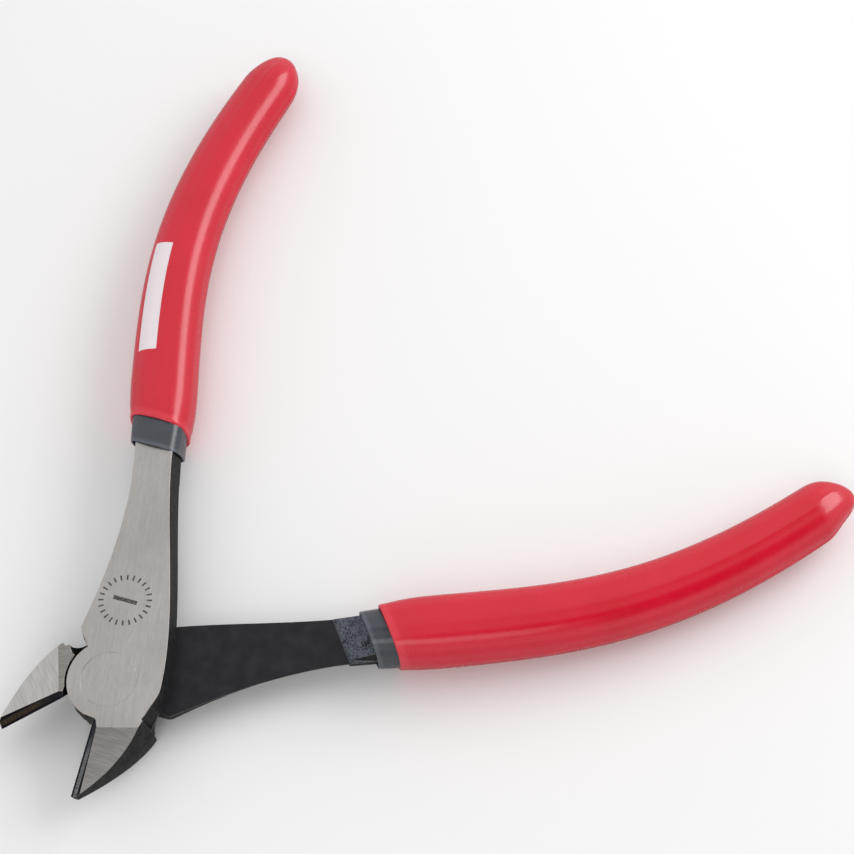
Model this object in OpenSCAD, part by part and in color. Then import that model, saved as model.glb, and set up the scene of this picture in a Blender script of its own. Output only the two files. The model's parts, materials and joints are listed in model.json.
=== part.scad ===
// Lap-joint diagonal cutting pliers with double-dipped handles, lying on their rear side.
// Each lever is drawn in its own closed-tool frame: u to the right, v towards the jaws, z = 0 on the
// lap plane, jaw on the left (u < 0) and handle on the right (u > 0). The rear lever is the same
// forging turned over about v. The part's origin is on the pivot axis at the rear ground face.

/* [Head] */
// Thickness of one lap plate, half the thickness of the head
plate_t = 4.9; // [4.6:0.1:5.4]
// Radius of the round end of the lap plate, about the pivot
disc_r = 7.46; // [7.3:0.01:7.6]
// Gap between a plate's round end and the shoulder of the other jaw
disc_gap = 0.41; // [0.3:0.01:0.5]
// Gap between the two lap plates
lap_gap = 0.1; // [0.06:0.02:0.2]
// How much wider the forged sides are on the lap plane than on the ground face
draft = 1; // [0.6:0.1:1.1]
// How much further the rear plate's outer side leans in towards its ground face
rear_lean = 1; // [0:0.1:1.2]

/* [Jaws] */
// Distance from the pivot to the end of the jaws
jaw_len = 20.65; // [20:0.05:21.5]
// Slope of the ground taper on the front of the jaws, degrees
taper_a = 16.9; // [15:0.1:18]
// Slope of the ground taper on the back of the jaws, degrees
back_taper_a = 20.5; // [17:0.1:21]
// Where the cutting edge starts, from the pivot
edge_start = 8.6; // [8.5:0.1:9]
// Height of the start of the cutting edge over the lap plane
edge_z = 4.2; // [3.9:0.1:4.3]
// Fall of the cutting edge towards its tip, degrees
edge_fall = 18.3; // [17:0.1:19]
// Slope of the narrow bevel on the front of the cutting edge, degrees
bevel_a = 33; // [28:1:38]
// Slope of the long bevel behind the cutting edge, degrees from upright
relief_a = 26; // [20:1:30]
// Gap left between the closed cutting edges, half of it on each lever
edge_gap = 0.04; // [0.02:0.01:0.1]

/* [Pivot] */
// Radius of the rivet's shank
shank_r = 3.4; // [3:0.1:3.8]
// Radius of the rivet's flush heads
head_r = 5; // [4.6:0.1:5.4]
// Thickness of a rivet head
head_t = 1.4; // [1:0.1:2]
// Running clearance of the rivet in the rear lever
rivet_play = 0.05; // [0.03:0.01:0.08]

/* [Handles] */
// Half width of a grip at its mouth and at its rounded end
grip_w = [6.1, 4.8];
// Half thickness of a grip at its mouth and at its rounded end
grip_h = [6.25, 5.1];
// Radius of the long corners of a grip
grip_corner = 4; // [3.7:0.1:4.3]
// Wall of the outer grip
grip_wall = 1.1; // [0.9:0.05:1.3]
// Half width and half thickness of the steel tang inside a handle
tang_size = [3.4, 3];

/* [Pose] */
// Angle between the levers as drawn, where 0 is closed
open_angle = 52; // [0:1:69]

/* [Hidden] */
steel = [0.66, 0.65, 0.63];
collar_grey = [0.28, 0.31, 0.35];
grip_red = [0.84, 0.17, 0.24];

plate_z = lap_gap / 2;          // inner face of a lap plate
neck_end = -47.3;               // the flat neck runs this far, into the collar
collar_v = -46.3;               // mouth of the grey collar
grip_v = -50.2;                 // mouth of the red grip
before_mouth = -0.03;           // step along the spine where the uncut layers begin
bond = 0.03;                    // clearance between the layers of a handle
sleeve_end = 0.985;             // where the grey layer ends
round_len = 7;                  // length of the rounded end of a handle
end_speed = 144;                // millimetres that one whole step of the spine would cover at its end
body_rings = 16;                // rings in the straight part of a handle layer
wide = 60;                      // larger than any section that is trimmed
curve_n = 10;                   // straight pieces in one curved stretch of an outline
disc_n = 40;                    // straight pieces in the round end of the plate
crotch = [2.31, 7.16];          // where the plate's round end meets the line to the cutting edge
jaw_corner = [-9.6, 5.6];       // outer corner of the jaw's shoulder on the ground face
plate_hub = [-2.75, -11.5];     // the whole outline of a plate is in view from here

// ---- curves ----

function bezier(p, n) =
    [for (i = [0:n]) let (t = i / n, s = 1 - t)
        s * s * s * p[0] + 3 * s * s * t * p[1] + 3 * s * t * t * p[2] + t * t * t * p[3]];

function arc(r, from, to, n) =
    [for (i = [0:n]) let (a = from + (to - from) * i / n) [r * cos(a), r * sin(a)]];

function reversed(list) = [for (i = [len(list) - 1:-1:0]) list[i]];

function at_height(ring, z) = [for (p = ring) [p[0], p[1], z]];

function middle(ring) = [for (p = ring) 1] * ring / len(ring);

// Closed skin over rings of equal length, each one counter-clockwise seen from the last ring's side.
// Its two ends are fans about hub, a point from which the whole ring is in view.
module loft(rings, hub = undef) {
    n = len(rings[0]);
    last = len(rings) - 1;
    ends = [for (r = [rings[0], rings[last]]) hub == undef ? middle(r) : [hub[0], hub[1], r[0][2]]];
    first_hub = (last + 1) * n;
    faces = [for (i = [0:n - 1]) let (j = (i + 1) % n)
        each concat([[first_hub, i, j], [first_hub + 1, last * n + j, last * n + i]],
                    [for (k = [0:last - 1]) each [[k * n + i, (k + 1) * n + i, (k + 1) * n + j],
                                                  [k * n + i, (k + 1) * n + j, k * n + j]]])];
    polyhedron(points = concat([for (r = rings) each r], ends), faces = faces, convexity = 6);
}

// ---- the lever forging ----

// Outline of lap plate and neck. d is the draft: 0 on the ground face, full on the lap plane.
// lean pulls in the outer side of the neck and the round end.
function plate_outline(d, lean) =
    let (out = d - lean, r = disc_r - 0.7 * lean, start = crotch * r / disc_r)
    concat(
        reversed(arc(r, atan2(start[1], start[0]), -39.5, disc_n)),
        [[0, edge_start - lean], [-2, edge_start + 0.5], [-7.6, 7]],
        bezier([[-8.55 - 0.6 * d, 4.4], [-8.8 - 0.6 * d, 2.6], [-9.7 - 0.4 * d, 1], [-9.5 - 0.4 * d, -0.9]],
               curve_n),
        bezier([[-9.4 - 0.45 * d, -1.5], [-7.5 - 0.6 * d, -15], [0.55 - d, -30], [4.6 - d, -45]], 2 * curve_n),
        [[5.2 - 0.8 * d, neck_end], [12.5 + 0.6 * out, neck_end]],
        reversed(bezier([[8.3 + 0.6 * out, -7.9], [7.3 + out, -22], [8.3 + out, -34], [11.95 + 0.85 * out, -45]],
                        2 * curve_n)),
        [[7.95 + 0.5 * out, -7.2]]);

// Outline of the jaw. corner is the outer corner of its shoulder.
function jaw_outline(corner, tip_u) = concat(
    [[-0.5 * edge_gap, 2], [-0.5 * edge_gap, jaw_len], [tip_u, jaw_len]],
    reversed(bezier([corner, [corner[0] + 0.9, corner[1] + 4.6], [-5.2, jaw_len - 4.4], [tip_u, jaw_len]],
                    2 * curve_n)),
    [[-7.6, 4.75], [-6.4, 4.2]]);

module jaw_blank() {
    loft([at_height(jaw_outline(jaw_corner, -1), -plate_t),
          at_height(jaw_outline(jaw_corner + [-0.4, 0.4], -1.35), 0),
          at_height(jaw_outline([-8.5, 5.6], -1), plate_t)]);
}

module lap_plate(lean) {
    loft([at_height(plate_outline(draft, 0), plate_z), at_height(plate_outline(0, lean), plate_t)], plate_hub);
}

// Concave fillet that climbs from the lap plane to the shoulder of the jaw
module shoulder_fillet() {
    foot = 2.1;
    rise = 2.5;
    loft([for (a = [0:15:90])
        let (v = foot + rise * cos(a), z = plate_t * (sin(a) - 1), side = -8.85 - 0.3 * sin(a))
        [[-5.5, v, z], [-5.5, 6.2, z], [side, 6.2, z], [side - 0.5 * (1 - cos(a)), v, z]]]);
}

// Spine of a handle: t = 0 at the collar's mouth, t = 1 at the rounded end
spine = [[8.4, -46], [16.6, -77.4], [26, -93.5], [14.4, -139.6]];

function spine_point(t) =
    let (s = 1 - t)
    s * s * s * spine[0] + 3 * s * s * t * spine[1] + 3 * s * t * t * spine[2] + t * t * t * spine[3];

// Unit vector across the spine
function across(t) =
    let (s = 1 - t)
    let (d = s * s * (spine[1] - spine[0]) + 2 * s * t * (spine[2] - spine[1]) + t * t * (spine[3] - spine[2]))
    [-d[1], d[0]] / norm(d);

// A flat [side, height] section placed across the spine
function placed(section, t) =
    [for (p = section) let (q = spine_point(t) + p[0] * across(t)) [q[0], q[1], p[1]]];

// Six-sided steel section, wider by belly on the lap plane; top is the share of its width kept at the top
function tang_section(w, low, high, top = 1, belly = 0.4) =
    [[-w, low], [w, low], [w + belly, 0], [top * w, high], [-top * w, high], [-w - belly, 0]];

// Steps along the bar inside the handle
bar_steps = [for (k = [0:16]) 0.06 + 0.053 * k];

// Section of that bar, which tapers towards its end; play is added all round
function bar_section(t, play) =
    let (w = tang_size[0] - 1.2 * t + play, h = tang_size[1] - 0.5 * t + play)
    tang_section(w, -h, h);

module tang() {
    neck_w = 3.9;
    high = plate_t - 0.3;
    root = [for (p = tang_section(neck_w + 0.15, -0.1, high, 0.85)) [6.85 + p[0], -41, p[1]]];
    bar = [for (t = bar_steps) placed(bar_section(t, 0), t)];
    loft(concat([root, placed(tang_section(neck_w, -2, high, 0.85), 0)], bar));
}

// Ground taper of the jaw; it starts along a line that runs towards the shoulder
module face_taper(slope) {
    translate([-1.33, 8.8, plate_t])
        rotate([0, 0, atan(1.95 / 7)])
            rotate([-slope, 0, 0])
                translate([-wide / 2, 0, 0])
                    cube([wide, wide, 10]);
}

// Moves its children to the cutting edge: y along the edge, z up
module at_edge() {
    translate([-0.5 * edge_gap, edge_start, edge_z])
        rotate([-edge_fall, 0, 0])
            children();
}

// Material in front of the narrow bevel and behind the long one
module edge_grinding() {
    difference() {
        union() {
            at_edge()
                rotate([0, bevel_a, 0])
                    translate([-wide / 2, -4, 0])
                        cube([wide / 2, wide, 10]);
            at_edge()
                rotate([0, relief_a, 0])
                    translate([0, 0.05, -wide / 2])
                        cube([20, wide, wide / 2]);
        }
        cylinder(r = disc_r + 0.1, h = 3 * plate_t, center = true, $fn = 96);
    }
}

// Small facet between the plate's round end and the start of the cutting edge
module crotch_facet() {
    left = [-0.4, 7.42, plate_t];
    low = [0.1, edge_start, edge_z];
    right = [crotch[0], crotch[1], plate_t];
    low_out = left + 1.3 * (low - left);
    right_out = left + 1.3 * (right - left);
    loft([[left, right_out, low_out], [for (p = [left, right_out, low_out]) p + [0, 0, 3]]]);
}

// Room for the round end of the other lever's plate, and for the start of its cutting edge
module disc_recess() {
    translate([0, 0, -plate_t - 1]) {
        cylinder(r = disc_r + disc_gap, h = plate_t + 1 + plate_z, $fn = 96);
        linear_extrude(plate_t + 1 + plate_z)
            polygon([[0, 0], [2, 5], [2, edge_start + 0.15], [0, edge_start + 0.15], [-2.6, 7.2]]);
    }
}

// edge_side is 0 where the cutting edge is near the plate's face, 1 where it is on the other side
module lever(edge_side, play, lean) {
    difference() {
        union() {
            difference() {
                union() {
                    jaw_blank();
                    shoulder_fillet();
                }
                disc_recess();
            }
            lap_plate(lean);
            tang();
        }
        mirror([0, 0, edge_side]) {
            face_taper(taper_a);
            edge_grinding();
            crotch_facet();
        }
        mirror([0, 0, 1 - edge_side])
            face_taper(back_taper_a);
        cylinder(r = shank_r + play, h = wide, center = true, $fn = 64);
        translate([0, 0, plate_t - head_t - play])
            cylinder(r = head_r + play, h = 10, $fn = 64);
    }
}

// ---- handle layers ----

// Rounded rectangle section
function round_section(w, h, r) =
    [for (q = [0:3], k = [0:5]) let (a = 90 * q + 18 * k, sx = q == 0 || q == 3 ? 1 : -1, sy = q < 2 ? 1 : -1)
        [sx * (w - r) + r * cos(a), sy * (h - r) + r * sin(a)]];

// Rings of a handle layer, as [step, share of the full section]; the last stretch is rounded off
function layer_steps(to) =
    let (full = to - round_len / end_speed)
    concat([for (k = [0:body_rings - 1]) [before_mouth + (full - before_mouth) * k / body_rings, 1]],
           [for (a = [0, 15, 30, 45, 60, 75, 86]) [full + (to - full) * sin(a), cos(a)]]);

function layer_ring(t, k, inset) =
    placed(round_section(k * (grip_w[0] + (grip_w[1] - grip_w[0]) * t - inset),
                         k * (grip_h[0] + (grip_h[1] - grip_h[0]) * t - 0.75 * inset),
                         k * (grip_corner - 1.9 * inset)), t);

// A handle layer; its mouth is cut square to the closed tool, as a dipped handle's is
module layer_solid(mouth_v, to, inset) {
    difference() {
        loft([for (s = layer_steps(to)) layer_ring(s[0], s[1], inset)]);
        translate([-wide, mouth_v, -wide / 2])
            cube([2 * wide, wide, wide]);
    }
}

// Grey inner layer, moulded round the tang; its mouth stands clear of the neck
module inner_sleeve() {
    mouth = tang_section(3.95, -5.05, 5.05, 1, 0.7);
    difference() {
        layer_solid(collar_v, sleeve_end, grip_wall);
        loft(concat([placed(mouth, 2 * before_mouth), placed(mouth, 0.03)],
                    [for (t = bar_steps) placed(bar_section(t, bond), t + bond / end_speed)]));
    }
}

// Red outer layer
module outer_grip() {
    difference() {
        layer_solid(grip_v, 1, 0);
        layer_solid(collar_v, sleeve_end + bond / end_speed, grip_wall - bond);
    }
}

// ---- placing ----

module front_side() {
    translate([0, 0, plate_t])
        rotate([0, 0, open_angle / 2])
            children();
}

module rear_side() {
    translate([0, 0, plate_t])
        rotate([0, 0, -open_angle / 2])
            rotate([0, 180, 0])
                children();
}

module front_lever() {
    color(steel) front_side() lever(0, 0, 0);
}

module rear_lever() {
    color(steel) rear_side() lever(1, rivet_play, rear_lean);
}

module pivot_rivet() {
    color(steel) {
        cylinder(r = shank_r, h = 2 * plate_t, $fn = 64);
        cylinder(r = head_r, h = head_t, $fn = 64);
        translate([0, 0, 2 * plate_t - head_t])
            cylinder(r = head_r, h = head_t, $fn = 64);
    }
}

module front_inner_sleeve() {
    color(collar_grey) front_side() inner_sleeve();
}

module rear_inner_sleeve() {
    color(collar_grey) rear_side() inner_sleeve();
}

module front_grip() {
    color(grip_red) front_side() outer_grip();
}

module rear_grip() {
    color(grip_red) rear_side() outer_grip();
}

front_lever();
rear_lever();
pivot_rivet();
front_inner_sleeve();
rear_inner_sleeve();
front_grip();
rear_grip();
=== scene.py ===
"""Diagonal cutting pliers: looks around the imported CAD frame.

The steel levers and the rivet are the CAD nodes with procedural steel. The dipped collars and grips are
lofted here as smooth closed shells, and each stands for its CAD solid. Lengths in a lever's frame are in
millimetres: u to the right, v towards the jaws, h above the lap plane towards the front of the tool.
"""

import json
import math

import bmesh
import bpy
from mathutils import Matrix, Vector


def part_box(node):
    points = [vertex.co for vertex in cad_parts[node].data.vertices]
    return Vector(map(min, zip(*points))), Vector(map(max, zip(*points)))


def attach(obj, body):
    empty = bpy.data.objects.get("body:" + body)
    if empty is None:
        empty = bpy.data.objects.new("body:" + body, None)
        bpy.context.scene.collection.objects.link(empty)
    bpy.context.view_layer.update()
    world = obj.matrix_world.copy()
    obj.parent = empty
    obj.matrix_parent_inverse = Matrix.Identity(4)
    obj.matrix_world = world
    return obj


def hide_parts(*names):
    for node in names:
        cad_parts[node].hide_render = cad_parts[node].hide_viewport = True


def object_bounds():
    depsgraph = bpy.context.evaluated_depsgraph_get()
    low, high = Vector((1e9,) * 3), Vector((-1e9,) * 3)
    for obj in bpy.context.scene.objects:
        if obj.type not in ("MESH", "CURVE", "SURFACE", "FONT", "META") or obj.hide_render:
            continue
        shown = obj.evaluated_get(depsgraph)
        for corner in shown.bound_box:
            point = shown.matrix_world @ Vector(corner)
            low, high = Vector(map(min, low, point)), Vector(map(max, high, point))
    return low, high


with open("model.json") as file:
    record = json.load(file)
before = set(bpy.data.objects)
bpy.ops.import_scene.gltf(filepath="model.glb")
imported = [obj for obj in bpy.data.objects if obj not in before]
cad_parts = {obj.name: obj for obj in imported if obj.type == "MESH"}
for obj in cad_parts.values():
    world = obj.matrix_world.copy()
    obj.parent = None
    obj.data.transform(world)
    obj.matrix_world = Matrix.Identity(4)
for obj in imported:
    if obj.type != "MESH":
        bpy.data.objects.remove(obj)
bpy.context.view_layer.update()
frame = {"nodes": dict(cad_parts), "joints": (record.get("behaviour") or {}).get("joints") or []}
nodes = frame["nodes"]

MM = 0.001
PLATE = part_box("pivot_rivet")[1].z / MM / 2          # thickness of one lap plate
HALF_OPEN = math.radians(frame["joints"][0]["range_deg"][1] / 2)


# ---------------------------------------------------------------- lever frames

class Lever:
    """Local closed-tool frame of one lever; side is 1 for the front lever and -1 for the rear one."""

    def __init__(self, side):
        self.side = side
        c, s = math.cos(HALF_OPEN), math.sin(HALF_OPEN)
        self.u = Vector((side * c, s, 0.0))
        self.v = Vector((-side * s, c, 0.0))

    def place(self, u, v, h):
        """Row-frame point in metres."""
        p = self.u * u + self.v * v
        return Vector((p.x, p.y, h + PLATE)) * MM


FRONT = Lever(1)
REAR = Lever(-1)


# ---------------------------------------------------------------- node graphs

def rgb(r, g, b):
    """Linear colour from screen values of 0 to 255."""
    def linear(x):
        x = x / 255
        return x / 12.92 if x <= 0.04045 else ((x + 0.055) / 1.055) ** 2.4
    return (linear(r), linear(g), linear(b), 1.0)


class Graph:
    """A material being built; its methods add nodes and give back their output sockets."""

    def __init__(self, name):
        self.material = bpy.data.materials.new(name)
        self.material.use_nodes = True
        self.tree = self.material.node_tree
        self.tree.nodes.clear()

    def node(self, kind, inputs=None, out=0, **settings):
        made = self.tree.nodes.new(kind)
        for key, value in settings.items():
            setattr(made, key, value)
        for key, value in (inputs or {}).items():
            self.feed(made.inputs[key], value)
        return made.outputs[out]

    def feed(self, socket, value):
        if isinstance(value, bpy.types.NodeSocket):
            self.tree.links.new(value, socket)
        else:
            socket.default_value = value

    def math(self, operation, a, b=0.0):
        return self.node("ShaderNodeMath", {0: a, 1: b}, operation=operation)

    def add(self, a, b):
        return self.math("ADD", a, b)

    def times(self, a, b):
        return self.math("MULTIPLY", a, b)

    def minus(self, a, b):
        return self.math("SUBTRACT", a, b)

    def most(self, a, b):
        return self.math("MAXIMUM", a, b)

    def inverse(self, a):
        return self.math("SUBTRACT", 1.0, a)

    def size(self, a):
        return self.math("ABSOLUTE", a)

    def away(self, x, y):
        """Distance of a point from the origin."""
        return self.math("SQRT", self.add(self.times(x, x), self.times(y, y)))

    def ramp(self, value, low, high, to_low=0.0, to_high=1.0):
        """Smooth step from to_low at low to to_high at high, which may be the smaller of the two."""
        inputs = {"Value": value, "From Min": low, "From Max": high, "To Min": to_low, "To Max": to_high}
        return self.node("ShaderNodeMapRange", inputs, interpolation_type="SMOOTHSTEP")

    def band(self, value, half, soft):
        """1 where the value is within half of zero, with a soft edge."""
        return self.ramp(self.size(value), half, half - soft)

    def vector(self, operation, a, b=(0.0, 0.0, 0.0), out=0):
        return self.node("ShaderNodeVectorMath", {0: a, 1: b}, out=out, operation=operation)

    def dot(self, a, b):
        return self.vector("DOT_PRODUCT", a, b, out=1)

    def combine(self, x, y, z):
        return self.node("ShaderNodeCombineXYZ", {"X": x, "Y": y, "Z": z})

    def separate(self, vector):
        made = self.tree.nodes.new("ShaderNodeSeparateXYZ")
        self.tree.links.new(vector, made.inputs[0])
        return made.outputs[0], made.outputs[1], made.outputs[2]

    def object_place(self):
        """Position in the object's own space, in metres; it doesn't change as a joint turns."""
        return self.node("ShaderNodeTexCoord", out=3)

    def place(self):
        """The same in millimetres."""
        return self.in_mm(self.object_place())

    def in_mm(self, vector):
        return self.vector("MULTIPLY", vector, (1 / MM, 1 / MM, 1 / MM))

    def named(self, name):
        """A number that the mesh carries at its points."""
        return self.node("ShaderNodeAttribute", out=2, attribute_name=name)

    def noise(self, place, scale, detail=3.0, roughness=0.5):
        inputs = {"Vector": place, "Scale": scale, "Detail": detail, "Roughness": roughness}
        return self.node("ShaderNodeTexNoise", inputs)

    def mix(self, factor, a, b):
        """Colour b over colour a."""
        made = self.tree.nodes.new("ShaderNodeMix")
        made.data_type = "RGBA"
        self.feed(made.inputs[0], factor)
        self.feed(made.inputs[6], a)
        self.feed(made.inputs[7], b)
        return made.outputs[2]

    def tones(self, value, low, high, pair):
        """Colour that goes from the pair's first tone at low to its second at high."""
        return self.mix(self.ramp(value, low, high), rgb(*pair[0]), rgb(*pair[1]))

    def blend(self, factor, a, b):
        """Number b over number a."""
        return self.node("ShaderNodeMix", {0: factor, 2: a, 3: b})

    def bump(self, height, strength, distance, normal=None):
        inputs = {"Height": height, "Strength": strength, "Distance": distance}
        if normal is not None:
            inputs["Normal"] = normal
        return self.node("ShaderNodeBump", inputs)

    def finish(self, **inputs):
        shader = self.tree.nodes.new("ShaderNodeBsdfPrincipled")
        for key, value in inputs.items():
            self.feed(shader.inputs[key.replace("_", " ")], value)
        output = self.tree.nodes.new("ShaderNodeOutputMaterial")
        self.tree.links.new(shader.outputs[0], output.inputs["Surface"])
        return self.material


# ---------------------------------------------------------------- surfaces of a forging

TAPER_LINE = math.atan(1.95 / 7)        # lie of the line where the jaw's taper starts
TAPER_FRONT = math.radians(16.9)        # fall of the jaw's front taper and of its back one
TAPER_BACK = math.radians(20.5)
EDGE_FALL = math.radians(18.3)          # fall of the cutting edge towards the jaw's tip
BEVEL = math.radians(33)                # lean of the cutting edge's front bevel and of its rear relief
RELIEF = math.radians(26)
FACING_SOFT = 0.01                      # how far a normal may lean, as a loss of cosine

FLAT_H = 4.5                            # the ground flats lie further than this from the lap plane
LAP_H = 0.5                             # the lap faces lie nearer than this to it
SURFACE_SOFT = 0.2
JAW_V = 5.0                             # the jaw's tapers lie beyond this
JAW_SOFT = 0.5
RAMP_V = -41                            # where the flat lap face ends and the as-forged ramp starts
RAMP_SOFT = 0.3
LEVEL = (0.5, 0.7)                      # a face is level when its normal's height is about this


def taper_normal(slope, up):
    s = math.sin(slope)
    return (-math.sin(TAPER_LINE) * s, math.cos(TAPER_LINE) * s, up * math.cos(slope))


BEVEL_NORMAL = (
    math.sin(BEVEL),
    math.cos(BEVEL) * math.sin(EDGE_FALL),
    math.cos(BEVEL) * math.cos(EDGE_FALL),
)
RELIEF_NORMAL = (
    math.cos(RELIEF),
    -math.sin(RELIEF) * math.sin(EDGE_FALL),
    -math.sin(RELIEF) * math.cos(EDGE_FALL),
)


def lever_frame(g, lever):
    """Position in mm and true normal, both in the lever's frame."""
    def turned(vector):
        return g.combine(g.dot(vector, lever.u), g.dot(vector, lever.v), g.dot(vector, (0.0, 0.0, 1.0)))
    place = g.vector("SUBTRACT", g.object_place(), (0.0, 0.0, PLATE * MM))
    normal = g.node("ShaderNodeNewGeometry", out=3)
    normal = g.node("ShaderNodeVectorTransform", {"Vector": normal}, vector_type="NORMAL",
                    convert_from="WORLD", convert_to="OBJECT")
    return g.in_mm(turned(place)), turned(normal)


def facing(g, normal, direction):
    return g.ramp(g.dot(normal, direction), 1 - 2 * FACING_SOFT, 1 - FACING_SOFT)


class Surfaces:
    """Masks of a forging's surfaces: each is 1 on its own surface and 0 elsewhere."""

    def __init__(self, g, lever):
        self.place, normal = lever_frame(g, lever)
        self.u, self.v, h = g.separate(self.place)
        up = facing(g, normal, (0.0, 0.0, 1.0))
        down = facing(g, normal, (0.0, 0.0, -1.0))
        self.front_flat = g.times(up, g.ramp(h, FLAT_H, FLAT_H + SURFACE_SOFT))
        back_flat = g.times(down, g.ramp(h, -FLAT_H, -FLAT_H - SURFACE_SOFT))
        self.flat = g.most(self.front_flat, back_flat)
        self.lap = g.times(g.most(up, down), g.band(h, LAP_H, SURFACE_SOFT))

        on_jaw = g.ramp(self.v, JAW_V - JAW_SOFT, JAW_V + JAW_SOFT)
        front_taper = g.times(facing(g, normal, taper_normal(TAPER_FRONT, 1)), on_jaw)
        back_taper = g.times(facing(g, normal, taper_normal(TAPER_BACK, -1)), on_jaw)
        self.taper = g.most(front_taper, back_taper)
        self.bevel = facing(g, normal, BEVEL_NORMAL)
        self.relief = facing(g, normal, RELIEF_NORMAL)

        self.ground = g.most(self.flat, self.taper)
        self.bright = g.most(self.ground, self.bevel)
        past_lap = g.ramp(self.v, RAMP_V + RAMP_SOFT, RAMP_V - RAMP_SOFT)
        level = g.ramp(g.size(g.separate(normal)[2]), *LEVEL)
        self.rough = g.times(g.times(past_lap, g.inverse(self.flat)), level)


# ---------------------------------------------------------------- steel

# darker and lighter tone of each surface; where the levers differ, 1 is the front one and -1 the rear one.
# Both levers are the same steel, so the difference between their tones is painted light and shade
FLAT_TONES = {1: ((172, 168, 165), (192, 188, 185)), -1: ((126, 123, 119), (158, 155, 151))}
TAPER_TONES = {1: ((124, 122, 120), (154, 151, 149)), -1: ((172, 170, 168), (203, 201, 199))}
BEVEL_TONES = {1: ((96, 97, 101), (136, 136, 138)), -1: ((46, 39, 33), (70, 60, 50))}
RELIEF_TONES = ((30, 27, 24), (66, 58, 52))
FORGED_TONES = ((24, 24, 24), (54, 54, 53))
LAP_TONES = ((27, 27, 30), (39, 39, 43))
SCALE_TONES = ((34, 36, 43), (104, 109, 121))
FLAT_CLOUD = (156, 149, 144)
# painted shade on a bevel's rim, and near the head
BEVEL_RIM_SHADE = (22, 22, 25)
BEVEL_ROOT_SHADE = (26, 28, 37)
RIVET_LINE = (112, 108, 104)
ETCHED = (62, 56, 50)
# paler sharp edges: partly wear, partly a painted highlight
WORN_AND_LIT_EDGE = (205, 202, 198)

GRAIN_TURN = math.radians(-12)          # lie of the belt's marks on the flats
BEVEL_HIGHLIGHT_MIDDLE = 0.8                      # a bevel's painted highlight line lies this far in from the cutting edge
BEVEL_HIGHLIGHT_LINE = (0.25, 0.5)                # it fades out between these distances from its middle
ROOT_SHADE_V = (15.0, 9.5)                    # painted shade darkens the bevel from here towards the head
RIVET_HEAD_R = 5.0
RIVET_LINE_HALF = 0.16
RIVET_LINE_SOFT = 0.12
EDGE_R = 0.16                           # radius at which an edge's wear and painted highlight, and its rounding, are judged
GRIND_DEEP = 0.02                       # depth of the belt's marks and of the forged pits
PIT_DEEP = 0.12


def streaks(g, place, along, across, scale, share):
    """A share of noise that is stretched along one axis of the lever's frame."""
    stretched = g.vector("MULTIPLY", place, (across, along, 1.0))
    return g.times(g.noise(stretched, scale, detail=4.0, roughness=0.6), share)


def belt_marks(g, place):
    """Streaks of the grinding belt, along the handle on the flats and across the jaw on the tapers."""
    neck = g.node("ShaderNodeVectorRotate", {"Vector": place, "Angle": GRAIN_TURN}, rotation_type="Z_AXIS")
    along = g.add(streaks(g, neck, 0.22, 3.4, 3.0, 0.65), streaks(g, neck, 0.08, 1.3, 1.3, 0.35))
    across = g.add(streaks(g, place, 3.0, 0.22, 1.3, 0.6), streaks(g, place, 1.0, 0.1, 1.0, 0.4))
    return along, across


def bevel_colour(g, on, side, across):
    """A painted highlight line along the bevel's middle, with painted shade at its rim and towards the
    head.
    """
    colour = g.tones(across, 0.35, 0.7, BEVEL_TONES[side])
    rim_shade = g.ramp(g.size(g.add(on.u, BEVEL_HIGHLIGHT_MIDDLE)), *BEVEL_HIGHLIGHT_LINE)
    colour = g.mix(rim_shade, colour, rgb(*BEVEL_RIM_SHADE))
    return g.mix(g.ramp(on.v, *ROOT_SHADE_V, 0.0, 0.8), colour, rgb(*BEVEL_ROOT_SHADE))


def scale_colour(g, place):
    """Light flecks in the blue-grey scale of the as-forged ramp."""
    flecks = g.noise(g.vector("MULTIPLY", place, (1.0, 1.7, 1.0)), 3.1, detail=2.0, roughness=0.6)
    patches = g.add(g.noise(place, 0.5, detail=2.0), 0.5)
    return g.tones(g.times(flecks, patches), 0.38, 0.62, SCALE_TONES)


def steel_colour(g, on, side, along, across, forged_spots):
    cloud = g.noise(on.place, 0.11, roughness=0.55)
    flat = g.tones(along, 0.3, 0.7, FLAT_TONES[side])
    flat = g.mix(g.ramp(cloud, 0.35, 0.75, 0.0, 0.3), flat, rgb(*FLAT_CLOUD))
    forged = g.tones(forged_spots, 0.35, 0.7, FORGED_TONES)
    lap = g.tones(g.noise(on.place, 0.35), 0.3, 0.75, LAP_TONES)

    colour = g.mix(on.lap, forged, lap)
    colour = g.mix(on.rough, colour, scale_colour(g, on.place))
    colour = g.mix(on.relief, colour, g.tones(across, 0.35, 0.7, RELIEF_TONES))
    colour = g.mix(on.flat, colour, flat)
    colour = g.mix(on.taper, colour, g.tones(across, 0.3, 0.7, TAPER_TONES[side]))
    colour = g.mix(on.bevel, colour, bevel_colour(g, on, side, across))

    # the ground-flush rivet head shows as a broken line
    line = g.band(g.minus(g.away(on.u, on.v), RIVET_HEAD_R), RIVET_LINE_HALF, RIVET_LINE_SOFT)
    line = g.times(line, g.ramp(g.noise(on.place, 0.2, detail=2.0), 0.4, 0.65, 0.0, 0.4))
    return g.mix(g.times(line, on.flat), colour, rgb(*RIVET_LINE))


def edge_wear_and_highlight(g):
    """1 on sharp edges, which get wear and a painted highlight, from how far a rounded edge's normal leans
    from the true one; and that normal.
    """
    rounded = g.node("ShaderNodeBevel", {"Radius": EDGE_R * MM}, samples=6)
    true = g.node("ShaderNodeNewGeometry", out=3)
    return g.ramp(g.dot(rounded, true), 0.97, 0.75), rounded


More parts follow.
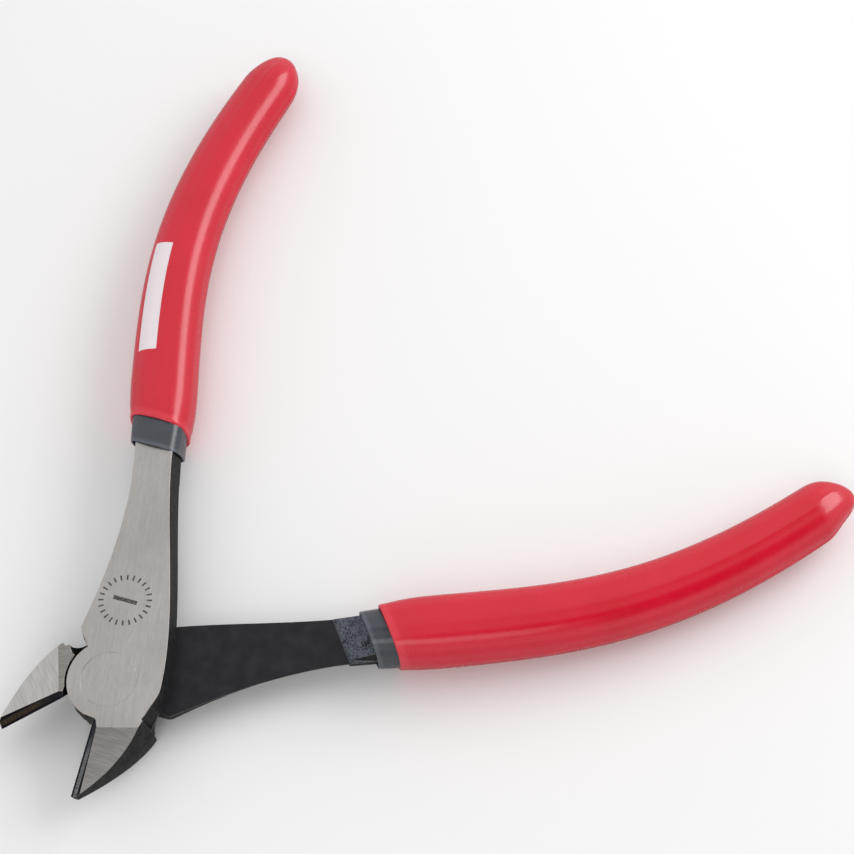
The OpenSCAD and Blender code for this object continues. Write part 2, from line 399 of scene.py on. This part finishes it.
def steel(name, lever, etched):
    """Ground flats, tapers and bevels over dark forged sides and a satin black lap face."""
    g = Graph(name)
    on = Surfaces(g, lever)
    along, across = belt_marks(g, on.place)
    forged_spots = g.noise(on.place, 1.3, detail=6.0, roughness=0.7)
    colour = steel_colour(g, on, lever.side, along, across, forged_spots)
    if etched:
        colour = g.mix(g.times(etched_mark(g, on.u, on.v), on.front_flat), colour, rgb(*ETCHED))
    wear_and_highlight, rounded = edge_wear_and_highlight(g)
    # sharp edges are painted paler: partly wear, partly a painted highlight
    colour = g.mix(g.times(wear_and_highlight, g.blend(on.bright, 0.45, 0.6)), colour, rgb(*WORN_AND_LIT_EDGE))

    streak = g.blend(on.taper, along, across)
    unground = g.inverse(on.ground)
    roughness = g.blend(on.bright, g.blend(on.lap, 0.62, 0.42), g.ramp(streak, 0.2, 0.8, 0.34, 0.5))
    roughness = g.blend(g.times(on.rough, unground), roughness, 0.6)
    metallic = g.blend(on.bright, 0.55, 1.0)

    normal = g.bump(streak, g.times(on.ground, 0.35), GRIND_DEEP * MM, rounded)
    small_pits = g.noise(on.place, 5.0, detail=4.0, roughness=0.7)
    pits = g.add(g.times(forged_spots, 0.5), g.times(small_pits, 0.5))
    pit_strength = g.times(unground, g.blend(on.rough, g.blend(on.lap, 0.5, 0.25), 1.0))
    normal = g.bump(pits, pit_strength, PIT_DEEP * MM, normal)
    return g.finish(Base_Color=colour, Metallic=metallic, Roughness=roughness, Normal=normal)


RING_AT = (2.51, -14.86)                # centre of the etched ring on the head
RING_R = 4.4
RING_TICKS = 24
RING_TICK_LONG = 1.1
RING_TICK_HALF = 0.16                   # half width of a tick, as a share of the step from one to the next
RING_BAR_HALF = (2.3, 0.42)


def etched_mark(g, u, v):
    """A plain etched ring of ticks round a short bar."""
    x, y = g.minus(u, RING_AT[0]), g.minus(v, RING_AT[1])
    turn = g.times(g.math("ARCTAN2", y, x), RING_TICKS / math.tau)
    spoke = g.math("PINGPONG", turn, 0.5)
    tick = g.times(g.band(g.minus(g.away(x, y), RING_R), RING_TICK_LONG / 2, 0.1),
                   g.ramp(spoke, RING_TICK_HALF, RING_TICK_HALF - 0.05))
    bar = g.times(g.band(x, RING_BAR_HALF[0], 0.1), g.band(y, RING_BAR_HALF[1], 0.08))
    worn = g.ramp(g.noise(g.combine(u, v, 0.0), 3.0), 0.25, 0.6, 0.55, 0.95)
    return g.times(g.most(tick, bar), worn)


# ---------------------------------------------------------------- shells of the dipped layers

SPINE = [Vector(p) for p in ((8.4, -46.0), (16.6, -77.4), (26.0, -93.5), (14.4, -139.6))]
LENGTH = 98.0                           # about the length of a grip along its spine
HALVINGS = 40                           # steps of the search along the spine

GRIP_W = (6.1, 5.15)                    # half width at the mouth and at the rounded end
GRIP_H = (6.25, 5.1)                    # half thickness there
GRIP_CORNER = 4.5
INSET_H = 0.75                          # what a layer's inset takes off its half thickness and its corner
INSET_CORNER = 1.8
CROWN = 0.22                            # how far each of the four faces is crowned
SWELL = 0.36                            # how much wider a handle's half width gets towards its middle
SWELL_OUT = 0.22                        # how far its middle moves to the outer side
SWELL_POWER = 0.6

MOUTH_TURN = 12.0                       # length over which the rings turn from the mouth's lie
MOUTH_SHAPE = 7.0                       # length over which the mouth's own shape fades
PINCH_LONG = 3.5                        # length over which the lip's pinch fades
CAVITY_EASE = 0.02                      # how much wider a cavity is than the lip that leads into it
END_SHARE = 0.03                        # size of the last ring of a rounded end, as a share

CORNER_STEPS = 10
FLAT_STEPS = 5
LIP_STEPS = 8
BODY_RINGS = 90
BODY_CROWDING = 1.15                    # above 1 brings the rings closer together near the mouth
TIP_RINGS = 30
INNER_RINGS = 40


def spine_point(t):
    s = 1 - t
    return SPINE[0] * s ** 3 + SPINE[1] * 3 * s * s * t + SPINE[2] * 3 * s * t * t + SPINE[3] * t ** 3


def spine_speed(t):
    s = 1 - t
    ends = (SPINE[1] - SPINE[0]) * s * s + (SPINE[3] - SPINE[2]) * t * t
    return (ends + (SPINE[2] - SPINE[1]) * 2 * s * t) * 3


def t_at_v(v):
    """Step along the spine whose point lies at this v."""
    low, high = -0.1, 1.0
    for _ in range(HALVINGS):
        middle = (low + high) / 2
        if spine_point(middle).y > v:
            low = middle
        else:
            high = middle
    return low


def eased(x):
    x = min(max(x, 0.0), 1.0)
    return x * x * (3 - 2 * x)


def swell(t):
    """How far a handle's middle swells, as a share; none at its mouth and end."""
    t = min(max(t, 0.0), 1.0)
    return (4 * t * (1 - t)) ** SWELL_POWER


def outer_side(tangent):
    """Direction across the spine, to the handle's outer side."""
    return Vector((-tangent.y, tangent.x))


def unit(degrees):
    return Vector((math.cos(math.radians(degrees)), math.sin(math.radians(degrees))))


def corner_of(w, h, r, quarter, lap_side, softer):
    """Centre and radius of one rounded corner."""
    sx = 1 if quarter in (0, 3) else -1
    sy = 1 if quarter < 2 else -1
    if sy == lap_side:
        r = r + softer
    return Vector((sx * (w - r), sy * (h - r))), r


def on_corner(corner, degrees):
    return corner[0] + unit(degrees) * corner[1]


def section(w, h, r, crown, lap_side, softer):
    """Rounded rectangle of half sizes w and h, counter-clockwise, its four faces crowned a little.

    The two corners on the lap side have a larger radius than the others."""
    points = []
    for quarter in range(4):
        here, there = (corner_of(w, h, r, q % 4, lap_side, softer) for q in (quarter, quarter + 1))
        for k in range(CORNER_STEPS + 1):
            points.append(on_corner(here, 90 * (quarter + k / CORNER_STEPS)))
        start, end = points[-1], on_corner(there, 90 * (quarter + 1))
        out = unit(90 * (quarter + 1))
        for k in range(1, FLAT_STEPS):
            s = k / FLAT_STEPS
            points.append(start.lerp(end, s) + out * crown * 4 * s * (1 - s))
    return points


def narrowed(outline, amount):
    """The outline with its inner half drawn in by this much."""
    reach = max(p.x for p in outline)
    return [Vector((p.x + amount * (-p.x / reach), p.y)) if p.x < 0 else p for p in outline]


class Shell:
    """A closed skin made ring by ring."""

    def __init__(self, lever):
        self.lever = lever
        self.rings = []

    def ring(self, centre, tangent, outline, along, lean):
        """Adds an outline across the tangent; its points keep their place along and across the handle."""
        side = outer_side(tangent).normalized()
        row = []
        for p in outline:
            spot = centre + side * p.x - tangent * (lean * p.y)
            row.append((self.lever.place(*spot, p.y), along, p.x))
        self.rings.append(row)

    def mesh(self, name, material):
        bm = bmesh.new()
        across_layer = bm.verts.layers.float.new("across")
        along_layer = bm.verts.layers.float.new("along")
        count = len(self.rings[0])
        rows = []
        for row in self.rings:
            made = []
            for co, along, across in row:
                vert = bm.verts.new(co)
                vert[along_layer] = along
                vert[across_layer] = across
                made.append(vert)
            rows.append(made)
        for a, b in zip(rows, rows[1:]):
            for i in range(count):
                j = (i + 1) % count
                bm.faces.new((a[i], a[j], b[j], b[i]))
        for row, along in ((rows[0], self.rings[0][0][1]), (rows[-1], self.rings[-1][0][1])):
            middle = sum((x.co for x in row), Vector()) / count
            pole = bm.verts.new(middle)
            pole[along_layer] = along
            for i in range(count):
                bm.faces.new((row[i], row[(i + 1) % count], pole))
        bmesh.ops.recalc_face_normals(bm, faces=bm.faces)
        for face in bm.faces:
            face.smooth = True
        return linked(name, bm, material)


def linked(name, bm, material):
    """Makes an object of a finished bmesh and puts it in the scene."""
    mesh = bpy.data.meshes.new(name)
    bm.to_mesh(mesh)
    bm.free()
    mesh.materials.append(material)
    made = bpy.data.objects.new(name, mesh)
    bpy.context.scene.collection.objects.link(made)
    return made


class Tip:
    """Rounded end of a layer.

    It starts this far before the spine's end and has this reach. A power of 2 makes it an ellipse, and
    more makes it fuller. Its centre bows to the outer side half way, and ends with this drift to it."""

    def __init__(self, start, reach, power, bow, drift):
        self.start = start
        self.reach = reach
        self.power = power
        self.bow = bow
        self.drift = drift

    def within(self, gap):
        """The same end for a layer that stops this much short."""
        return Tip(self.start, self.reach - gap, self.power, self.bow, self.drift)

    def share(self, x):
        """Size of the ring at this share of the reach, as a share of the full one."""
        return max((1 - x ** self.power) ** (1 / self.power), END_SHARE)

    def sideways(self, x):
        return self.bow * math.sin(math.pi * x) ** 2 + self.drift * x ** 4


def mouth_tilt(t, mouth_v):
    """Rings near a mouth are square to the closed tool, those further in are square to the spine."""
    tangent = spine_speed(t).normalized()
    square = Vector((0.0, -1.0))
    share = eased((mouth_v - spine_point(t).y) / MOUTH_TURN)
    return square.lerp(tangent, share).normalized()


def dipped_layer(name, lever, material, tip, mouth_v, inset, wall, pinch, lean, inner, softer):
    """A dipped shell: blind cavity, rolled lip, long body and rounded end.

    It lies inset inside the grip's skin and has this wall. pinch draws its lip in, lean tilts its mouth
    towards the tool's back, inner draws the inner side of its mouth in, and softer adds to the radius of
    the corners on the lap side."""
    shell = Shell(lever)
    t_mouth = t_at_v(mouth_v)
    t_round = 1 - tip.start / spine_speed(1.0).length

    def outline(t, extra, share=1.0):
        w = GRIP_W[0] + (GRIP_W[1] - GRIP_W[0]) * t - (inset + extra) + SWELL * swell(t)
        h = GRIP_H[0] + (GRIP_H[1] - GRIP_H[0]) * t - INSET_H * (inset + extra)
        r = GRIP_CORNER - INSET_CORNER * (inset + extra)
        return section(w * share, h * share, r * share, CROWN * share, -lever.side, softer * share)

    def body_ring(t, extra, shift=0.0):
        """A ring of the long body, drawn in by extra."""
        tangent = mouth_tilt(t, mouth_v)
        centre = spine_point(t) + tangent * shift + outer_side(tangent) * (SWELL_OUT * swell(t))
        along = (t - t_mouth) * LENGTH
        near = 1 - eased(along / MOUTH_SHAPE)
        shell.ring(centre, tangent, narrowed(outline(t, extra), inner * near), along, lean * near)

    tangent = spine_speed(t_round).normalized()
    side = outer_side(tangent)
    start = spine_point(t_round) + side * (SWELL_OUT * swell(t_round))
    along_round = (t_round - t_mouth) * LENGTH

    def end_ring(k, extra):
        """Ring k of the rounded end, drawn in by extra."""
        x = math.sin(math.pi / 2 * k / TIP_RINGS)
        ahead = (tip.reach - extra) * x
        centre = start + tangent * ahead + side * tip.sideways(x)
        t = t_round + (1 - t_round) * x
        shell.ring(centre, tangent, outline(t, extra, tip.share(x)), along_round + ahead, 0.0)

    # cavity, from its blind end out to the mouth
    for k in range(TIP_RINGS, 0, -1):
        end_ring(k, wall)
    for k in range(INNER_RINGS):
        body_ring(t_round + (t_mouth - t_round) * k / INNER_RINGS, wall - CAVITY_EASE)
    # rolled lip
    for k in range(LIP_STEPS + 1):
        a = math.pi * k / LIP_STEPS
        body_ring(t_mouth, wall / 2 * (1 + math.cos(a)) + pinch, shift=-wall / 2 * math.sin(a))
    # body, and its rounded end
    for k in range(1, BODY_RINGS + 1):
        t = t_mouth + (t_round - t_mouth) * (k / BODY_RINGS) ** BODY_CROWDING
        run = (t - t_mouth) * LENGTH
        body_ring(t, pinch * (1 - eased(run / PINCH_LONG)))
    for k in range(1, TIP_RINGS + 1):
        end_ring(k, 0.0)
    return shell.mesh(name, material)


# ---------------------------------------------------------------- plastics

GRIP_TONES = ((202, 4, 38), (208, 8, 44))
GRIP_SPECK = (186, 4, 30)
# painted highlight on the grip's rolled lip
GRIP_LIP_HIGHLIGHT = (232, 72, 84)
GRIP_LIP_HIGHLIGHT_LONG = (1.6, 0.2)              # the lip's painted highlight fades in between these distances
PRINT = (232, 222, 226)
PRINT_FROM = 16.1                       # the plain printed bar runs from here to there along the grip
PRINT_TO = 45.1
PRINT_END_SOFT = 0.2
PRINT_MIDDLE = 2.85                     # its distance from the middle of the grip's front face
PRINT_HALF = 1.85
PRINT_SIDE_SOFT = 0.12

COLLAR_TONES = ((50, 55, 63), (55, 60, 69))
# painted highlight on the collar's rolled lip, fading in between these distances
COLLAR_LIP_HIGHLIGHT = (104, 110, 120)
COLLAR_LIP_HIGHLIGHT_LONG = (0.9, 0.1)
RELIEF_DEEP = 0.1                       # depth of the plastics' faint unevenness


def printed_bar(g, place, along):
    """A plain bar on the grip's front face, its ink a little uneven."""
    start = g.ramp(along, PRINT_FROM, PRINT_FROM + PRINT_END_SOFT)
    end = g.ramp(along, PRINT_TO + PRINT_END_SOFT, PRINT_TO)
    across = g.band(g.minus(g.named("across"), PRINT_MIDDLE), PRINT_HALF, PRINT_SIDE_SOFT)
    on_front = g.ramp(g.separate(place)[2], PLATE, PLATE + 1)
    ink = g.ramp(g.noise(place, 4.0, roughness=0.6), 0.2, 0.45, 0.9, 1.0)
    return g.times(g.times(g.times(start, end), g.times(across, on_front)), ink)


def grip_plastic(name, printed):
    g = Graph(name)
    place = g.place()
    along = g.named("along")
    specks = g.noise(place, 3.2, detail=4.0, roughness=0.6)
    colour = g.tones(g.noise(place, 0.09), 0.3, 0.7, GRIP_TONES)
    colour = g.mix(g.ramp(specks, 0.66, 0.8, 0.0, 0.05), colour, rgb(*GRIP_SPECK))
    # painted highlight on the lip
    colour = g.mix(g.times(g.ramp(along, *GRIP_LIP_HIGHLIGHT_LONG), 0.35), colour, rgb(*GRIP_LIP_HIGHLIGHT))
    roughness = g.ramp(g.noise(place, 0.5), 0.3, 0.7, 0.23, 0.28)
    if printed:
        bar = printed_bar(g, place, along)
        colour = g.mix(bar, colour, rgb(*PRINT))
        roughness = g.blend(bar, roughness, 0.45)
    normal = g.bump(g.noise(place, 0.28, detail=1.0, roughness=0.4), 0.1, RELIEF_DEEP * MM)
    return g.finish(Base_Color=colour, Roughness=roughness, Normal=normal, Coat_Weight=0.15,
                    Coat_Roughness=0.08, Specular_IOR_Level=0.5)


def collar_plastic(name):
    g = Graph(name)
    place = g.place()
    colour = g.tones(g.noise(place, 0.35), 0.3, 0.7, COLLAR_TONES)
    # painted highlight on the lip
    colour = g.mix(g.times(g.ramp(g.named("along"), *COLLAR_LIP_HIGHLIGHT_LONG), 0.4), colour, rgb(*COLLAR_LIP_HIGHLIGHT))
    roughness = g.ramp(g.noise(place, 1.2), 0.3, 0.7, 0.22, 0.34)
    normal = g.bump(g.noise(place, 1.5), 0.12, RELIEF_DEEP * MM)
    return g.finish(Base_Color=colour, Roughness=roughness, Normal=normal, Coat_Weight=0.3,
                    Coat_Roughness=0.15, Specular_IOR_Level=0.5)


# ---------------------------------------------------------------- steel CAD nodes

SMOOTH_BELOW = math.radians(24)         # a CAD mesh is shaded smooth where its faces turn less than this
WELD = 0.002                            # corners nearer than this are joined


def smooth_skin():
    """Modifier tree that joins a CAD mesh's split corners and shades its gentle edges smooth."""
    tree = bpy.data.node_groups.new("smooth_skin", "GeometryNodeTree")
    tree.interface.new_socket("Geometry", in_out="INPUT", socket_type="NodeSocketGeometry")
    tree.interface.new_socket("Geometry", in_out="OUTPUT", socket_type="NodeSocketGeometry")
    start = tree.nodes.new("NodeGroupInput")
    end = tree.nodes.new("NodeGroupOutput")
    weld = tree.nodes.new("GeometryNodeMergeByDistance")
    weld.inputs["Distance"].default_value = WELD * MM
    drop = tree.nodes.new("GeometryNodeRemoveAttribute")
    drop.inputs["Name"].default_value = "custom_normal"
    faces = tree.nodes.new("GeometryNodeSetShadeSmooth")
    edges = tree.nodes.new("GeometryNodeSetShadeSmooth")
    edges.domain = "EDGE"
    edges.inputs["Shade Smooth"].default_value = False
    measured = tree.nodes.new("GeometryNodeInputMeshEdgeAngle")
    sharp = tree.nodes.new("FunctionNodeCompare")
    sharp.operation = "GREATER_THAN"
    sharp.inputs[1].default_value = SMOOTH_BELOW
    link = tree.links.new
    link(start.outputs[0], weld.inputs["Geometry"])
    link(weld.outputs[0], drop.inputs["Geometry"])
    link(drop.outputs[0], faces.inputs["Geometry"])
    link(faces.outputs[0], edges.inputs["Geometry"])
    link(measured.outputs["Unsigned Angle"], sharp.inputs[0])
    link(sharp.outputs[0], edges.inputs["Selection"])
    link(edges.outputs[0], end.inputs[0])
    return tree


skin = smooth_skin()
front_steel = steel("front_steel", FRONT, etched=True)
rear_steel = steel("rear_steel", REAR, etched=False)
STEEL_NODES = {"front_lever": front_steel, "rear_lever": rear_steel, "pivot_rivet": front_steel}
for node, material in STEEL_NODES.items():
    nodes[node].material_slots[0].material = material
    nodes[node].modifiers.new("skin", "NODES").node_group = skin


# ---------------------------------------------------------------- collars and grips

GRIP_WALL = 1.1                         # the collar lies this far inside the grip's skin
TIP_GAP = 1.2                           # and its rounded end stops this much short of the grip's

collar_grey = collar_plastic("collar_grey")


def dip(body, lever, red, tip, grip_mouth, collar_mouth, collar_lean):
    """Gives a handle its collar and grip, which stand for its two CAD layers."""
    collar = dipped_layer(body + "_collar", lever, collar_grey, tip.within(TIP_GAP), collar_mouth,
                          inset=GRIP_WALL, wall=0.45, pinch=0.1, lean=collar_lean, inner=0.15, softer=1.8)
    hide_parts(body + "_inner_sleeve")
    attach(collar, body)
    grip = dipped_layer(body + "_dipped_grip", lever, red, tip, grip_mouth,
                        inset=0.0, wall=1.0, pinch=0.25, lean=0.0, inner=0.4, softer=0.0)
    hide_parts(body + "_grip")
    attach(grip, body)


dip("front", FRONT, grip_plastic("red_printed", True),
    Tip(start=8.0, reach=9.3, power=2.0, bow=-0.2, drift=0.2),
    grip_mouth=-51.2, collar_mouth=-46.7, collar_lean=0.22)
dip("rear", REAR, grip_plastic("red_plain", False),
    Tip(start=10.7, reach=9.6, power=1.87, bow=-0.45, drift=0.5),
    grip_mouth=-49.7, collar_mouth=-45.9, collar_lean=0.0)


# ---------------------------------------------------------------- floor, light and camera

FLOOR_HALF = 3.0
FLOOR_IN_GLOSS = 0.6                    # share of its tone that the floor keeps in reflections


def build_floor():
    bm = bmesh.new()
    bmesh.ops.create_grid(bm, x_segments=12, y_segments=12, size=FLOOR_HALF)
    bmesh.ops.translate(bm, verts=bm.verts, vec=(0.0, 0.0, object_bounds()[0].z))
    g = Graph("pale_floor")
    tone = g.ramp(g.noise(g.object_place(), 3.0, detail=2.0), 0.3, 0.7, 0.88, 0.9)
    in_gloss = g.node("ShaderNodeLightPath", out=3)
    tone = g.times(tone, g.ramp(in_gloss, 0.0, 1.0, 1.0, FLOOR_IN_GLOSS))
    pale = g.finish(Base_Color=g.combine(tone, tone, tone), Roughness=0.8, Specular_IOR_Level=0.2)
    linked("floor", bm, pale)


STUDIO_TONE = 0.88
CARD_TOWARDS = Vector((-0.52, 0.02, 0.85))      # a dim card hangs there
CARD_EDGE = (38, 10)                            # degrees from its middle to its soft edge's two sides
CARD_TONE = 0.05


def build_world():
    """Even white studio with one dim card, which shows as a darker streak in gloss."""
    world = bpy.data.worlds.new("studio")
    bpy.context.scene.world = world
    world.use_nodes = True
    tree = world.node_tree
    background = tree.nodes["Background"]
    background.inputs[0].default_value = (1.0, 1.0, 1.0, 1.0)
    place = tree.nodes.new("ShaderNodeTexCoord")
    toward = tree.nodes.new("ShaderNodeVectorMath")
    toward.operation = "DOT_PRODUCT"
    toward.inputs[1].default_value = CARD_TOWARDS.normalized()
    fall = tree.nodes.new("ShaderNodeMapRange")
    fall.interpolation_type = "SMOOTHSTEP"
    fall.inputs["From Min"].default_value = math.cos(math.radians(CARD_EDGE[0]))
    fall.inputs["From Max"].default_value = math.cos(math.radians(CARD_EDGE[1]))
    fall.inputs["To Min"].default_value = STUDIO_TONE
    fall.inputs["To Max"].default_value = CARD_TONE
    tree.links.new(place.outputs["Generated"], toward.inputs[0])
    tree.links.new(toward.outputs["Value"], fall.inputs["Value"])
    tree.links.new(fall.outputs["Result"], background.inputs[1])


def area_light(name, place, aim, size, watts):
    data = bpy.data.lights.new(name, "AREA")
    data.shape = "RECTANGLE"
    data.size, data.size_y = size
    data.energy = watts
    made = bpy.data.objects.new(name, data)
    made.location = place
    made.rotation_mode = "QUATERNION"
    made.rotation_quaternion = (aim - place).to_track_quat("-Z", "Y")
    bpy.context.scene.collection.objects.link(made)


STRIP_TOWARDS = Vector((-0.23, -0.82, 0.52))    # the soft strip light shows along the grips' corners
STRIP_AWAY = 0.75
STRIP_AIM = Vector((0.0, -0.04, 0.0))
KEY_AT = Vector((-0.35, 0.35, 0.75))
KEY_AIM = Vector((0.0, -0.05, 0.0))

build_floor()
build_world()
area_light("strip", STRIP_TOWARDS * STRIP_AWAY, STRIP_AIM, size=(0.5, 0.34), watts=2.1)
area_light("key", KEY_AT, KEY_AIM, size=(0.5, 0.35), watts=1.0)

# the camera's place and the picture's two axes, in the row frame
CAMERA_AT = Vector((-122.87, 36.47, 320.06)) * MM
CAMERA_RIGHT = Vector((-0.735335, -0.677028, -0.030255))
CAMERA_UP = Vector((0.592512, -0.663927, 0.456212))
SENSOR = 36.0
LENS = 78.25
CLIP = (0.01, 20.0)

camera_data = bpy.data.cameras.new("camera")
camera_data.sensor_width = SENSOR
camera_data.lens = LENS
camera_data.clip_start, camera_data.clip_end = CLIP
camera = bpy.data.objects.new("camera", camera_data)
axes = Matrix((CAMERA_RIGHT, CAMERA_UP, CAMERA_RIGHT.cross(CAMERA_UP))).transposed()
camera.matrix_world = Matrix.Translation(CAMERA_AT) @ axes.to_4x4()
bpy.context.scene.collection.objects.link(camera)
bpy.context.scene.camera = camera
bpy.context.scene.view_settings.view_transform = "Standard"
